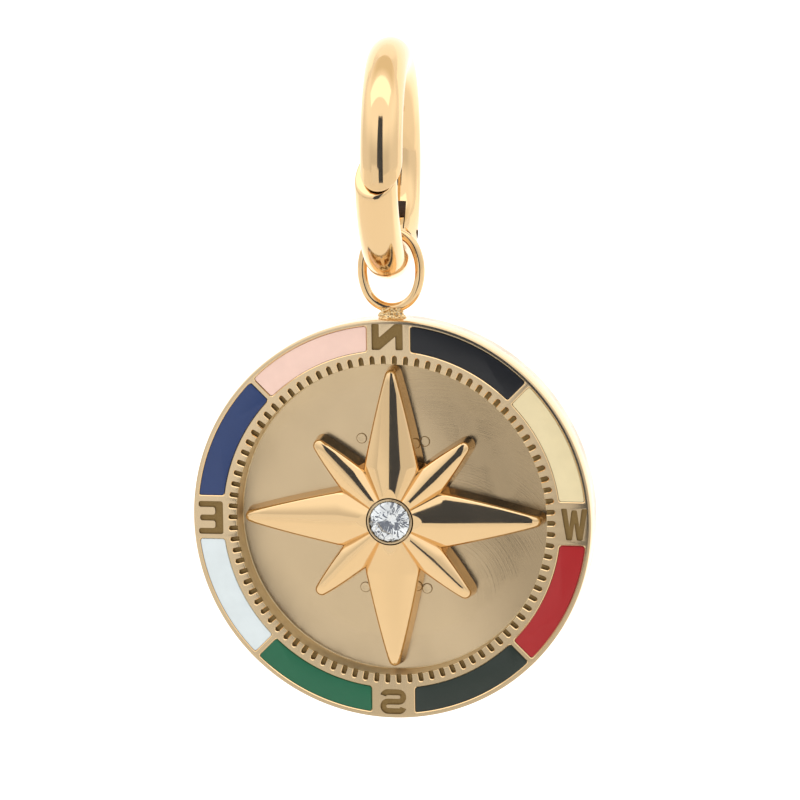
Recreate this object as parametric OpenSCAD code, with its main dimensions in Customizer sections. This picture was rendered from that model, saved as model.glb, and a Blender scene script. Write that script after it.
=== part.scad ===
// Compass charm: a round dial with a raised eight-pointed star, hung by an oval ring
// on a hinged hoop clasp. The hoop's inner crown is the origin, +Z is up, the dial faces -Y.

/* [Dial] */
// Diameter of the dial
dial_d = 20; // [18:0.5:24]
// Thickness of the dial at its rim
dial_t = 2.1; // [1.9:0.1:2.6]
// Bevel on the dial's front and back edges
edge_bevel = 0.12; // [0.05:0.01:0.2]
// Radius of the sunk floor
recess_r = 7.8; // [7.7:0.05:8]
// Depth of the sunk floor below the face
recess_depth = 1.45; // [1.3:0.05:1.5]
// Picture side that carries the east letter: -1 left as on this piece, 1 right
dial_hand = -1; // [-1, 1]

/* [Enamel] */
// Inner radius of the enamel cells
enamel_in_r = 8.5; // [8.4:0.05:8.7]
// Outer radius of the enamel cells
enamel_out_r = 9.73; // [9.5:0.01:9.78]
// Half width of the letter fields between the cells
letter_half = 1.11; // [1:0.01:1.3]
// Width of the metal web between two cells on a diagonal
web_w = 0.29; // [0.2:0.01:0.5]
// Thickness of the enamel
enamel_t = 0.26; // [0.2:0.01:0.35]
// Air between the enamel and its cell
enamel_gap = 0.02; // [0.01:0.01:0.04]

/* [Star] */
// Tip radius of the four long arms
star_long_r = 7.55; // [7:0.05:7.6]
// Tip radius of the four short arms
star_short_r = 5.55; // [5:0.05:6]
// Radius of the inner corners
star_corner_r = 3.05; // [2.8:0.05:3.3]
// Angle of the inner corners from the long arms
star_corner_a = 28.8; // [26:0.1:31]
// Radius of the rounded arm tips
star_tip_round = 0.24; // [0.15:0.01:0.3]
// Lean of the star's sides, as the inset of its upper outline
star_draft = 0.1; // [0:0.01:0.15]
// Height of the virtual peak above the face
star_peak = 0.52; // [0.4:0.01:0.6]
// Depth of the long tips' upper edge below the face
long_tip_drop = 0.33; // [0.25:0.01:0.5]
// Depth of the short tips' upper edge below the face
short_tip_drop = 0.22; // [0.15:0.01:0.4]
// Depth of the inner corners' upper edge below the face
corner_drop = 0.35; // [0.25:0.01:0.5]

/* [Stone] */
// Diameter of the round stone
stone_d = 2; // [1.8:0.1:2.1]
// Wall of the bezel at its rim
bezel_wall = 0.14; // [0.1:0.01:0.15]
// Height of the bezel's rim above the face
bezel_rise = 0.39; // [0.3:0.01:0.45]

/* [Ring] */
// Inner width of the oval ring
ring_in_w = 2.38; // [2.34:0.01:2.6]
// Inner height of the oval ring
ring_in_h = 3.27; // [3.2:0.01:3.6]
// Wire diameter of the oval ring
ring_wire = 0.5; // [0.4:0.01:0.6]
// Space between the ring and the dial's top, filled by the solder neck
ring_lift = 0.23; // [0.15:0.01:0.4]
// Air between the ring and the hoop that it hangs on
ring_gap = 0.04; // [0.03:0.01:0.05]

/* [Hoop clasp] */
// Outer diameter of the hoop
hoop_od = 11.9; // [11.5:0.1:14]
// Wire diameter of the hoop
hoop_wire = 2.04; // [2:0.01:2.06]
// Turn of the hoop about the vertical, from square to the dial
hoop_turn = 5.3; // [-10:0.1:10]
// Sideways play of the gate, as its turn at the hinge
gate_skew = 2.1; // [0:0.05:2.2]
// Angle of the hinge pin below the horizontal, at the back
hinge_a = 58; // [50:1:60]
// Slope of the parting cut at the front
cut_slope = 49.4; // [45:0.2:52]
// Width of the parting gap
cut_gap = 0.18; // [0.15:0.01:0.3]
// Diameter of the hinge pin
pin_d = 0.6; // [0.5:0.05:0.7]

/* [Hidden] */
$fn = 96;

// Heights in the dial's own frame: its mid plane is 0 and its face is dial_t / 2
face_z = dial_t / 2;
floor_z = face_z - recess_depth;
dial_r = dial_d / 2;
seat_gap = 0.02;
over = 1;

// Oval ring: two end arcs and two side arcs of its centre line, tangent to each other. The
// end arcs are a little thinner, and run a few degrees into the side arcs
end_wire = ring_wire - 0.02;
end_arc_run = 4;
end_arc_inset = 0.11;
ring_a = (ring_in_w + ring_wire) / 2;
ring_b = (ring_in_h + end_wire) / 2;
end_arc_r = ring_a - end_arc_inset;
end_arc_y = ring_b - end_arc_r;
side_arc_x = (pow(end_arc_y, 2) - pow(end_arc_inset, 2)) / (2 * end_arc_inset);
side_arc_r = ring_a + side_arc_x;
arc_a = atan2(end_arc_y, side_arc_x);
ring_y = dial_r + ring_lift + ring_b + end_wire / 2;

// Hoop: u runs from front to back, v up and w sideways, from the hoop's centre
hoop_r = (hoop_od - hoop_wire) / 2;
hoop_in_r = hoop_r - hoop_wire / 2;
pin_u = hoop_r * cos(hinge_a);
pin_v = -hoop_r * sin(hinge_a);
cut_v = -0.19;
cut_tilt = 4.8;
cut_run = 15;
ear_r = 1;
ear_clear_r = 1.12;
slot_r = 1.77;
slot_w = 0.86;
knuckle_w = 0.76;
pin_len = 1.9;
pin_fit = 0.03;
catch_r = sqrt(pow(hoop_r + pin_u, 2) + pow(cut_v - pin_v, 2));
catch_a = atan2(cut_v - pin_v, -hoop_r - pin_u);
catch_d = 0.66;
catch_root = 7;
catch_reach = 4.5;
catch_fit = 0.09;

// The charm hangs at the lowest point of the gate, a little to one side
charm_w = -pin_u * sin(gate_skew) + 0.02;
charm_x = charm_w * cos(hoop_turn);
charm_y = charm_w * sin(hoop_turn);
dial_z = -2 * hoop_in_r + ring_gap - ring_in_h / 2 - ring_y;

// Conical dish in the star round the stone: one point of its slope, and how far the cone runs
dish_r = 1.62;
dish_z = face_z + 0.34;
dish_slope = 0.17;
dish_below = 0.14;
dish_above = 0.3;

// Round stone: crown, pavilion and table as shares of its diameter
girdle_z = face_z + bezel_rise - 0.11;
girdle_t = 0.05;
crown_h = 0.16 * stone_d;
pavilion_h = 0.43 * stone_d;
table_r = 0.28 * stone_d;
bezel_in_r = stone_d / 2 + 0.03;
bezel_out_r = bezel_in_r + bezel_wall;
bezel_foot_z = floor_z + 0.62;
bezel_foot_r = 0.28 * stone_d;

peg_d = 0.55;
peg_spots = [[-1.68, 3.86], [1.5, 3.75], [1.53, -3.66], [-1.6, -3.66]];
peg_sink = 0.36;
peg_rise = 0.03;

// Solder neck between the dial and the ring
neck_sink = 0.15;
neck_foot_r = 0.62;
neck_top_r = 0.48;

module in_hoop() {
  translate([0, 0, -hoop_in_r]) rotate([0, 0, hoop_turn]) rotate([90, 0, 90]) children();
}

module in_gate() {
  translate([pin_u, 0, 0]) rotate([0, -gate_skew, 0]) translate([-pin_u, 0, 0]) children();
}

module in_dial() {
  translate([charm_x, charm_y, dial_z]) rotate([90, 0, 0]) children();
}

// A stretch of round wire bent to radius r, from angle a0 to a1
module wire_arc(r, d, a0, a1) {
  rotate([0, 0, a0]) rotate_extrude(angle = a1 - a0) translate([r, 0]) circle(d = d);
}

// Space beyond the parting cut: side 1 is the bow's side, -1 the gate's side
module beyond_cut(side, offset) {
  translate([-hoop_r, cut_v, 0]) rotate([0, 0, cut_slope]) rotate([cut_tilt, 0, 0])
    translate([-3, side > 0 ? offset : -6 + offset, -3]) cube([6, 6, 6]);
}

// Space past the hinge pin on one side, except a round end about the pin
module past_pin(side) {
  difference() {
    translate([pin_u, pin_v, 0]) rotate([0, 0, -hinge_a])
      translate([-2, side > 0 ? 0 : -3, -2]) cube([4, 3, 4]);
    translate([pin_u, pin_v, -3]) cylinder(r = ear_r, h = 6);
  }
}

module about_pin(r, w) {
  translate([pin_u, pin_v, -w / 2]) cylinder(r = r, h = w);
}

// Upper two thirds of the hoop: fork at the hinge, catch post at the parting cut
module clasp_bow() {
  color("#e6c896") in_hoop() {
    difference() {
      wire_arc(hoop_r, hoop_wire, -hinge_a - cut_run, 180 + cut_run);
      beyond_cut(-1, cut_gap);
      past_pin(-1);
      about_pin(slot_r, slot_w);
      about_pin(pin_d / 2 + pin_fit, 4);
    }
    translate([pin_u, pin_v, 0]) wire_arc(catch_r, catch_d, catch_a - catch_root, catch_a + catch_reach);
  }
}

// Lower third of the hoop: one knuckle at the hinge, catch hole at the parting cut
module clasp_gate() {
  color("#e6c896") in_hoop() difference() {
    in_gate() wire_arc(hoop_r, hoop_wire, 180 - cut_run, 360 - hinge_a + cut_run);
    in_gate() beyond_cut(1, 0);
    past_pin(1);
    for (side = [-1, 1])
      translate([pin_u, pin_v, side * (knuckle_w / 2 + 1) - 1]) cylinder(r = ear_clear_r, h = 2);
    about_pin(pin_d / 2 + pin_fit, 4);
    translate([pin_u, pin_v, 0])
      wire_arc(catch_r, catch_d + 2 * catch_fit, catch_a - catch_root - 12, catch_a + catch_reach + 0.7);
  }
}

module hinge_pin() {
  color("#d8b47c") in_hoop() about_pin(pin_d / 2, pin_len);
}

// One enamel cell to the right of the top letter field, grown by g on every side
module cell_shape(g) {
  off = (web_w / 2 - g) * sqrt(2);
  x0 = letter_half - g;
  intersection() {
    difference() {
      circle(r = enamel_out_r + g);
      circle(r = enamel_in_r - g);
    }
    polygon([[x0, x0 + off], [x0, dial_d], [dial_d - off, dial_d]]);
  }
}

// Puts a cell at a letter's axis angle, on its clockwise (1) or anticlockwise (-1) side
module at_cell(axis_a, side) {
  mirror([dial_hand > 0 ? 1 : 0, 0, 0]) rotate([0, 0, axis_a - 90])
    mirror([side < 0 ? 1 : 0, 0, 0]) children();
}

module enamel_cell(axis_a, side, tint) {
  color(tint) in_dial() at_cell(axis_a, side)
    translate([0, 0, face_z - seat_gap / 2 - enamel_t]) linear_extrude(enamel_t) cell_shape(0);
}

module oval_ring() {
  for (s = [0, 180]) rotate([0, 0, s]) {
    translate([0, end_arc_y, 0])
      wire_arc(end_arc_r, end_wire, arc_a - end_arc_run, 180 - arc_a + end_arc_run);
    translate([-side_arc_x, 0, 0]) wire_arc(side_arc_r, ring_wire, -arc_a, arc_a);
  }
}

// Dial, solder neck and hanging ring, soldered into one piece
module medallion() {
  color("#dcbc8a") in_dial() {
    difference() {
      rotate_extrude() polygon([
        [0, -face_z], [dial_r - edge_bevel, -face_z], [dial_r, -face_z + edge_bevel],
        [dial_r, face_z - edge_bevel], [dial_r - edge_bevel / 3, face_z - edge_bevel / 4],
        [dial_r - edge_bevel, face_z],
        [recess_r, face_z], [recess_r, floor_z], [0, floor_z]
      ]);
      for (axis_a = [0 : 90 : 270], side = [-1, 1]) at_cell(axis_a, side)
        translate([0, 0, face_z - enamel_t - 2 * enamel_gap]) linear_extrude(over) cell_shape(enamel_gap);
      for (spot = peg_spots)
        translate([spot[0], spot[1], floor_z - peg_sink - enamel_gap]) cylinder(d = peg_d + enamel_gap, h = over);
    }
    translate([0, dial_r - neck_sink, 0]) rotate([-90, 0, 0])
      cylinder(r1 = neck_foot_r, r2 = neck_top_r, h = neck_sink + ring_lift + end_wire * 0.4);
    translate([0, ring_y, 0]) oval_ring();
  }
}

// Outline of the star: three points round each tip, then the corner after it
function is_long(i) = i % 2 == 0;
function tip_r(i) = is_long(i) ? star_long_r : star_short_r;
function tip_z(i) = face_z - (is_long(i) ? long_tip_drop : short_tip_drop);
function turned(p, a) = [p[0] * cos(a) - p[1] * sin(a), p[0] * sin(a) + p[1] * cos(a)];
function tip_point(i, t, inset) =
  turned([tip_r(i) - star_tip_round + (star_tip_round - inset) * cos(t), (star_tip_round - inset) * sin(t)], 45 * i);
function corner_point(i, inset) =
  turned([star_corner_r - 1.4 * inset, 0], 45 * i + (is_long(i) ? star_corner_a : 45 - star_corner_a));
star_outline = [
  for (i = [0 : 7]) each [
    for (t = [-60, 0, 60]) concat(tip_point(i, t, star_draft), tip_z(i) - 0.03 * abs(sin(t))),
    concat(corner_point(i, star_draft), face_z - corner_drop)
  ]
];
star_foot = [
  for (i = [0 : 7]) each [
    for (t = [-60, 0, 60]) concat(tip_point(i, t, 0), floor_z + seat_gap),
    concat(corner_point(i, 0), floor_z + seat_gap)
  ]
];

// Eight gabled arms with steep sides, sunk round the stone
module compass_star() {
  n = len(star_outline);
  points = concat(star_outline, star_foot, [[0, 0, face_z + star_peak], [0, 0, floor_z + seat_gap]]);
  faces = [
    for (i = [0 : n - 1]) let (j = (i + 1) % n) each [
      [2 * n, j, i], [i, j, n + j], [i, n + j, n + i], [2 * n + 1, n + i, n + j]
    ]
  ];
  color("#ecc48a") in_dial() difference() {
    polyhedron(points, faces);
    translate([0, 0, dish_z - dish_below]) cylinder(
      r1 = dish_r - dish_below / dish_slope, r2 = dish_r + dish_above / dish_slope,
      h = dish_below + dish_above);
    translate([0, 0, bezel_foot_z - seat_gap]) cylinder(r = bezel_out_r + seat_gap, h = dial_t);
  }
}

// Height of the bezel's seat under the stone's cone
function stone_seat_z(r) = girdle_z - pavilion_h * (1 - 2 * r / stone_d) - 2 * seat_gap;

// Thin collar that holds the stone
module stone_bezel() {
  rim_z = face_z + bezel_rise;
  color("#ecc894") in_dial() rotate_extrude() polygon([
    [bezel_foot_r, bezel_foot_z], [bezel_out_r, bezel_foot_z], [bezel_out_r, rim_z],
    [bezel_in_r, rim_z], [bezel_in_r, stone_seat_z(bezel_in_r)],
    [bezel_foot_r, stone_seat_z(bezel_foot_r)]
  ]);
}

module center_stone() {
  r = stone_d / 2;
  color("#e8eef0") in_dial() rotate_extrude() polygon([
    [0, girdle_z - pavilion_h], [r, girdle_z], [r, girdle_z + girdle_t],
    [table_r, girdle_z + girdle_t + crown_h], [0, girdle_z + girdle_t + crown_h]
  ]);
}

// Round peg ends set in the sunk floor beside the upper and lower arms
module dial_peg(spot) {
  color("#cfa970") in_dial() translate([spot[0], spot[1], floor_z - peg_sink])
    cylinder(d = peg_d, h = peg_sink + peg_rise);
}

clasp_bow();
clasp_gate();
hinge_pin();
medallion();
compass_star();
stone_bezel();
center_stone();
dial_peg(peg_spots[0]);  // dial_peg_1
dial_peg(peg_spots[1]);  // dial_peg_2
dial_peg(peg_spots[2]);  // dial_peg_3
dial_peg(peg_spots[3]);  // dial_peg_4
enamel_cell(90, 1, "#3a3a3c");  // enamel_black
enamel_cell(0, -1, "#e6d7ae");  // enamel_cream
enamel_cell(0, 1, "#a83638");  // enamel_red
enamel_cell(270, -1, "#424c46");  // enamel_dark_green
enamel_cell(270, 1, "#3c6a50");  // enamel_green
enamel_cell(180, -1, "#dbe4e8");  // enamel_white
enamel_cell(180, 1, "#42517a");  // enamel_blue
enamel_cell(90, -1, "#edcdc4");  // enamel_pink
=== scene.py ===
from math import acos, atan2, cos, degrees, hypot, log, pi, radians, sin, sqrt, tan

import bmesh
import bpy
from mathutils import Matrix, Vector, noise


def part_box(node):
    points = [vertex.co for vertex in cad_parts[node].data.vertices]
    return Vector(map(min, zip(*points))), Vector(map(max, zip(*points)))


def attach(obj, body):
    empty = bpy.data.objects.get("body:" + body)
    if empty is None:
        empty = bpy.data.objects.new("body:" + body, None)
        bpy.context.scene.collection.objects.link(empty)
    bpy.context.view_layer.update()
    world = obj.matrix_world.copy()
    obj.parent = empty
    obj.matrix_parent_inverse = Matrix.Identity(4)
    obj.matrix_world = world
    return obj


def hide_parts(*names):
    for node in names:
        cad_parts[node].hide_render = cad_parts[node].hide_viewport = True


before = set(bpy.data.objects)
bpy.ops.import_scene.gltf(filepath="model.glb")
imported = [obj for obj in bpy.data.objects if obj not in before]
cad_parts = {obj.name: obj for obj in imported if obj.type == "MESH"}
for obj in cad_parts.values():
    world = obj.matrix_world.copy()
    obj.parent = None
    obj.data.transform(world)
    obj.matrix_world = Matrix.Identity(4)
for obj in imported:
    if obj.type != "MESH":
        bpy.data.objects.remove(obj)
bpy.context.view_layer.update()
scene = bpy.context.scene
metres = 0.001          # one millimetre
fullTurn = 2 * pi

# places, from the frame; the dial is drawn flat, facing up, and its face is turned to the front
starLow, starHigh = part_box("compass_star")
dialLow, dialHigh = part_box("medallion")
starCentre = (starLow + starHigh) / 2
dialCentre = Vector((starCentre.x, (dialLow.y + dialHigh.y) / 2, starCentre.z)) / metres
dialPlace = Matrix.Translation(dialCentre) @ Matrix.Rotation(radians(90), 4, "X")
print("frame loaded, dial centre at", tuple(round(c, 3) for c in dialCentre), "mm")

# Materials. Patterns lie on object coordinates, and their sizes are real ones in millimetres.


def linear(hexColour):
    # sRGB hex to linear
    parts = [int(hexColour[k:k + 2], 16) / 255 for k in (1, 3, 5)]
    return tuple(c / 12.92 if c <= 0.04045 else ((c + 0.055) / 1.055) ** 2.4 for c in parts) + (1,)


def join(source, socket):
    # from an output socket, or from the first output in use of a node
    if isinstance(source, bpy.types.Node):
        source = next(out for out in source.outputs if out.enabled)
    socket.id_data.links.new(source, socket)


def addNode(tree, kind, inputs=None, **settings):
    # kind is the node's type, without ShaderNode where it starts so; an input is a value or its source
    made = tree.nodes.new(kind if "Node" in kind else "ShaderNode" + kind)
    for name, value in settings.items():
        setattr(made, name, value)
    for socket, value in (inputs or {}).items():
        if isinstance(value, (bpy.types.Node, bpy.types.NodeSocket)):
            join(value, made.inputs[socket])
        else:
            made.inputs[socket].default_value = value
    return made


def newMaterial(name, **values):
    material = bpy.data.materials.new(name)
    material.use_nodes = True
    tree = material.node_tree
    for socket, value in values.items():
        tree.nodes["Principled BSDF"].inputs[socket.replace("_", " ")].default_value = value
    return material, tree, addNode(tree, "TexCoord").outputs["Object"]


def perMetre(size):
    # texture scale for a feature of that many millimetres
    return 1 / (size * metres)


def dress(material, colour, bump, rough=None):
    # what a finish ends in: colour, relief and, where it varies, roughness
    for socket, source in (("Base Color", colour), ("Normal", bump), ("Roughness", rough)):
        if source:
            join(source, material.node_tree.nodes["Principled BSDF"].inputs[socket])
    return material


# the shaded tones are painted shade on the floor and on the face
goldTones = {
    "bright": "#f0ce9e", "deep": "#e8c592", "floor": "#d2ba95", "shadedFloor": "#ab9676",
    "face": "#e2c9a3", "shadedFace": "#baa482", "wall": "#c2ab80", "paleWall": "#e2cfa6",
}


def tones(first, second):
    return {"A": linear(goldTones[first]), "B": linear(goldTones[second])}


def polishedGold():
    # gold plate buffed on a cloth wheel: a warm mirror with faint waves and hairlines
    material, tree, where = newMaterial("polishedGoldPlate", Metallic=1.0)
    tone = addNode(tree, "TexNoise", {"Vector": where, "Scale": perMetre(6), "Detail": 2})
    colour = addNode(tree, "Mix", {"Factor": tone, **tones("bright", "deep")}, data_type="RGBA")
    wave = addNode(tree, "TexNoise", {"Vector": where, "Scale": perMetre(1.6), "Detail": 3})
    rough = addNode(tree, "MapRange",
                    {"Value": wave, "From Min": 0.3, "From Max": 0.7, "To Min": 0.05, "To Max": 0.12})
    bump = addNode(tree, "Bump", {"Height": wave, "Strength": 0.06, "Distance": 0.02 * metres})
    return dress(material, colour, bump, rough)


def satinGold():
    # the sunk floor, turned with fine grit: a hazy mirror with arcs left by the tool, painted shade to the
    # right
    material, tree, where = newMaterial("turnedSatinGold", Metallic=1.0)
    centred = addNode(tree, "Mapping",
                      {"Vector": where, "Location": tuple(-c * metres for c in dialCentre)})
    parts = addNode(tree, "SeparateXYZ", {"Vector": centred}).outputs
    # arcs about a point left of the dial, as a hand-held tool leaves them; drawn 0.12 mm apart, the real
    # ones are about 0.02 mm, too fine to show
    swept = addNode(tree, "VectorMath", {0: centred, 1: (2 * metres, 0, -4 * metres)}, operation="DISTANCE")
    arcs = addNode(tree, "CombineXYZ", {"Y": swept})
    along = addNode(tree, "Mapping", {"Vector": arcs, "Scale": (1, perMetre(0.12), 1)})
    lines = addNode(tree, "TexNoise", {"Vector": along, "Scale": 1.0, "Detail": 4, "Roughness": 0.7})
    cloud = addNode(tree, "TexNoise", {"Vector": where, "Scale": perMetre(2.2), "Detail": 2})
    patches = addNode(tree, "MapRange", {"Value": cloud, "From Min": 0.42, "From Max": 0.55})
    rough = addNode(tree, "MapRange",
                    {"Value": cloud, "From Min": 0.3, "From Max": 0.7, "To Min": 0.15, "To Max": 0.23})
    # painted shade grows towards the right and the top, and with it the relief of the tool's arcs
    upward = addNode(tree, "Math", {0: parts["Z"], 1: 0.36}, operation="MULTIPLY")
    reach = addNode(tree, "Math", {0: parts["X"], 1: upward}, operation="ADD")
    paintedShadeRamp = addNode(tree, "MapRange", {"Value": reach, "From Min": 0.5 * metres, "From Max": 6.2 * metres},
                   interpolation_type="SMOOTHSTEP")
    marked = addNode(tree, "Math", {0: paintedShadeRamp, 1: patches}, operation="MULTIPLY")
    height = addNode(tree, "Math", {0: lines, 1: marked}, operation="MULTIPLY")
    bump = addNode(tree, "Bump", {"Height": height, "Strength": 0.3, "Distance": 0.035 * metres})
    # colour darkened by the painted shade
    colour = addNode(tree, "Mix", {"Factor": paintedShadeRamp, **tones("floor", "shadedFloor")}, data_type="RGBA")
    return dress(material, colour, bump, rough)


def unbuffedGold():
    # steep sides that the wheel never reached: the casting's grain scatters light, so they are less
    # mirror-like than the tops
    material, tree, where = newMaterial("unbuffedGoldPlate", Metallic=0.7, Roughness=0.4)
    streak = addNode(tree, "TexNoise", {"Vector": where, "Scale": perMetre(0.5), "Detail": 3})
    grain = addNode(tree, "TexNoise", {"Vector": where, "Scale": perMetre(0.14), "Detail": 3})
    colour = addNode(tree, "Mix", {"Factor": streak, **tones("wall", "paleWall")}, data_type="RGBA")
    bump = addNode(tree, "Bump", {"Height": grain, "Strength": 0.4, "Distance": 0.025 * metres})
    return dress(material, colour, bump)


def lappedGold():
    # the border's face, lapped flat on a fine disc: paler and a little softer than the buffed parts, with
    # painted shade that darkens it to the right and below
    material, tree, where = newMaterial("lappedGoldPlate", Metallic=1.0, Roughness=0.16)
    cloud = addNode(tree, "TexNoise", {"Vector": where, "Scale": perMetre(3), "Detail": 3})
    parts = addNode(tree, "SeparateXYZ", {"Vector": where}).outputs
    # painted shade: the colour darkens towards the right and below
    upward = addNode(tree, "Math", {0: parts["Z"], 1: -1.3}, operation="MULTIPLY")
    reach = addNode(tree, "Math", {0: parts["X"], 1: upward}, operation="ADD")
    paintedShadeRamp = addNode(tree, "MapRange", {"Value": reach, "From Min": 14 * metres, "From Max": 38 * metres,
                                      "To Min": 0.0, "To Max": 0.75})
    share = addNode(tree, "Math", {0: cloud, 1: 0.25}, operation="MULTIPLY")
    tone = addNode(tree, "Math", {0: share, 1: paintedShadeRamp}, operation="ADD")
    colour = addNode(tree, "Mix", {"Factor": tone, **tones("face", "shadedFace")}, data_type="RGBA")
    # scratches as fine as 1500 grit, drawn 0.06 mm apart so that they show
    fine = addNode(tree, "Mapping", {"Vector": where, "Rotation": (0, radians(35), 0),
                                     "Scale": (perMetre(0.06), perMetre(1), perMetre(0.9))})
    lines = addNode(tree, "TexNoise", {"Vector": fine, "Scale": 1.0, "Detail": 2})
    bump = addNode(tree, "Bump", {"Height": lines, "Strength": 0.05, "Distance": 0.01 * metres})
    return dress(material, colour, bump)


def mottled(name, pair, grain, detail, strength, depth, **values):
    # a pair of linear colours and a relief from one noise; grain and depth in millimetres
    material, tree, where = newMaterial(name, **values)
    cloud = addNode(tree, "TexNoise", {"Vector": where, "Scale": perMetre(grain), "Detail": detail})
    colour = addNode(tree, "Mix", {"Factor": cloud, "A": pair[0], "B": pair[1]}, data_type="RGBA")
    bump = addNode(tree, "Bump", {"Height": cloud, "Strength": strength, "Distance": depth * metres})
    return dress(material, colour, bump)


enamelTones = {
    "enamel_black": "#1b1c20", "enamel_cream": "#ebdaad", "enamel_red": "#ab1a1d",
    "enamel_dark_green": "#263029", "enamel_green": "#1c6646", "enamel_white": "#e1eaec",
    "enamel_blue": "#2b3f6e", "enamel_pink": "#f7d2c2",
}


def hardEnamel(name):
    # cold enamel, filled and ground flush: an even colour under a thin gloss
    title = "hardEnamel" + "".join(word.capitalize() for word in name.split("_")[1:])
    tint = linear(enamelTones[name])[:3]
    pair = [tuple(min(1, share * c) for c in tint) + (1,) for share in (0.94, 1.06)]
    return mottled(title, pair, 0.7, 3, 0.05, 0.01, Roughness=0.3, IOR=1.45)


gold = polishedGold()
satin = satinGold()
lapped = lappedGold()
unbuffed = unbuffedGold()
# inner faces of the hinge and catch, as cast and never buffed: dull, with painted shade that makes them
# dark brown
shadedCastGold = mottled("castGoldPaintedShade", (linear("#3c2c22"), linear("#6b5240")), 0.15, 4, 0.3, 0.02, Metallic=0.9,
               Roughness=0.45)
# floor of a laser cut: dull metal with a grain, and a brown that is painted shade of the cut
shadedEngraving = mottled("laserEngravedGoldPaintedShade", (linear("#7d6238"), linear("#a68b5a")), 0.08, 3, 0.3, 0.01,
                   Metallic=0.85, Roughness=0.5)
# hard solder, melted and only brushed over: lumpy, with small bright facets
solder = mottled("hardSolderGold", (linear("#d6b680"), linear("#f6ddb0")), 0.18, 3, 0.5, 0.03, Metallic=1.0,
                 Roughness=0.22)
# cubic zirconia: clear, strongly refracting, with polished facets
clearStone = newMaterial("cubicZirconia", Roughness=0.0, IOR=2.15, Transmission_Weight=1.0,
                         Base_Color=linear("#f7fbfc"))[0]
print("materials made")

# Mesh tools. All of them work in millimetres.


def newPiece(name, points, faces, materials, slots=0):
    # slots: one number for all faces, or one for each
    mesh = bpy.data.meshes.new(name)
    mesh.from_pydata([tuple(p) for p in points], [], faces)
    for material in materials:
        mesh.materials.append(material)
    mesh.polygons.foreach_set("material_index", [slots] * len(faces) if isinstance(slots, int) else slots)
    mesh.update()
    piece = bpy.data.objects.new(name, mesh)
    scene.collection.objects.link(piece)
    return piece


def evaluated(piece):
    # the piece's mesh with its modifiers applied
    graph = bpy.context.evaluated_depsgraph_get()
    mesh = bpy.data.meshes.new_from_object(piece.evaluated_get(graph), depsgraph=graph)
    piece.modifiers.clear()
    old, piece.data = piece.data, mesh
    mesh.name = piece.name
    bpy.data.meshes.remove(old)
    return piece


def combine(piece, others, operation="DIFFERENCE"):
    for other in others:
        cut = piece.modifiers.new("cut", "BOOLEAN")
        cut.object = other
        cut.operation = operation
        cut.solver = "EXACT"
    evaluated(piece)
    for other in others:
        bpy.data.objects.remove(other)
    return piece


def arc(x, y, radius, first, last, steps):
    # points of a circle about (x, y), from the first angle to the last
    angles = (first + (last - first) * k / steps for k in range(steps + 1))
    return [(x + radius * cos(a), y + radius * sin(a)) for a in angles]


def circle(radius, steps):
    # the same all round, without the point that closes it
    return arc(0, 0, radius, 0, fullTurn, steps)[:-1]


def prism(name, outline, low, high, materials, slot=0):
    # closed prism over an anticlockwise outline
    n = len(outline)
    points = [(x, y, low) for x, y in outline] + [(x, y, high) for x, y in outline]
    faces = [tuple(reversed(range(n))), tuple(range(n, 2 * n))]
    faces += [(k, (k + 1) % n, n + (k + 1) % n, n + k) for k in range(n)]
    return outwards(newPiece(name, points, faces, materials, slot))


def lathe(name, profile, steps, materials, slots):
    # profile of (radius, height) from the lower pole to the upper one, with one slot per band
    points, faces, bands, rings = [], [], [], []
    for radius, height in profile:
        loop = circle(radius, steps) if radius else [(0, 0)]
        rings.append(list(range(len(points), len(points) + len(loop))))
        points += [(x, y, height) for x, y in loop]
    for band, (a, b) in enumerate(zip(rings, rings[1:])):
        for k in range(steps):
            j = (k + 1) % steps
            if len(a) == 1:
                faces.append((a[0], b[j], b[k]))
            elif len(b) == 1:
                faces.append((a[k], a[j], b[0]))
            else:
                faces.append((a[k], a[j], b[j], b[k]))
            bands.append(slots[band])
    return outwards(newPiece(name, points, faces, materials, bands))


def skin(name, rings, materials, slots=0, looped=False):
    # quads between rings of equal length; the last ring joins the first, or each end gets a flat cap
    n = len(rings[0])
    points = [p for ring in rings for p in ring]
    faces = []
    for r in range(len(rings) if looped else len(rings) - 1):
        after = (r + 1) % len(rings)
        for k in range(n):
            j = (k + 1) % n
            faces.append((r * n + k, r * n + j, after * n + j, after * n + k))
    if not looped:
        faces += [tuple(reversed(range(n))), tuple(range((len(rings) - 1) * n, len(rings) * n))]
    return outwards(newPiece(name, points, faces, materials, slots))


def outwards(piece):
    # normals recalculated on merged points
    work = bmesh.new()
    work.from_mesh(piece.data)
    bmesh.ops.remove_doubles(work, verts=work.verts, dist=1e-6)
    bmesh.ops.recalc_face_normals(work, faces=work.faces)
    work.to_mesh(piece.data)
    work.free()
    return piece


def soften(piece, width):
    # small rounded edges wherever faces meet at more than 50 degrees
    bevel = piece.modifiers.new("bevel", "BEVEL")
    bevel.width = width
    bevel.segments = 3
    bevel.limit_method = "ANGLE"
    bevel.angle_limit = radians(50)
    bevel.miter_outer = "MITER_ARC"
    return evaluated(piece)


def shade(piece, angle):
    # smooth but for sharp edges; planar faces of some size stay flat beside small roundings
    mesh = piece.data
    smooth = [len(face.vertices) < 5 or face.area < 0.04 for face in mesh.polygons]
    mesh.polygons.foreach_set("use_smooth", smooth)
    mesh.set_sharp_from_angle(angle=radians(angle))
    return piece


def settle(piece, node, body="charm", place=dialPlace):
    piece.data.transform(Matrix.Scale(metres, 4) @ place)
    piece.data.update()
    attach(piece, body)
    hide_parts(node)
    print(piece.name, len(piece.data.polygons), "faces")


def turned(start, here, end, stops):
    # points of the curve that leaves start and reaches end, drawn towards the corner here
    return [start * (1 - t) ** 2 + here * 2 * t * (1 - t) + end * t ** 2 for t in stops]


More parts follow.
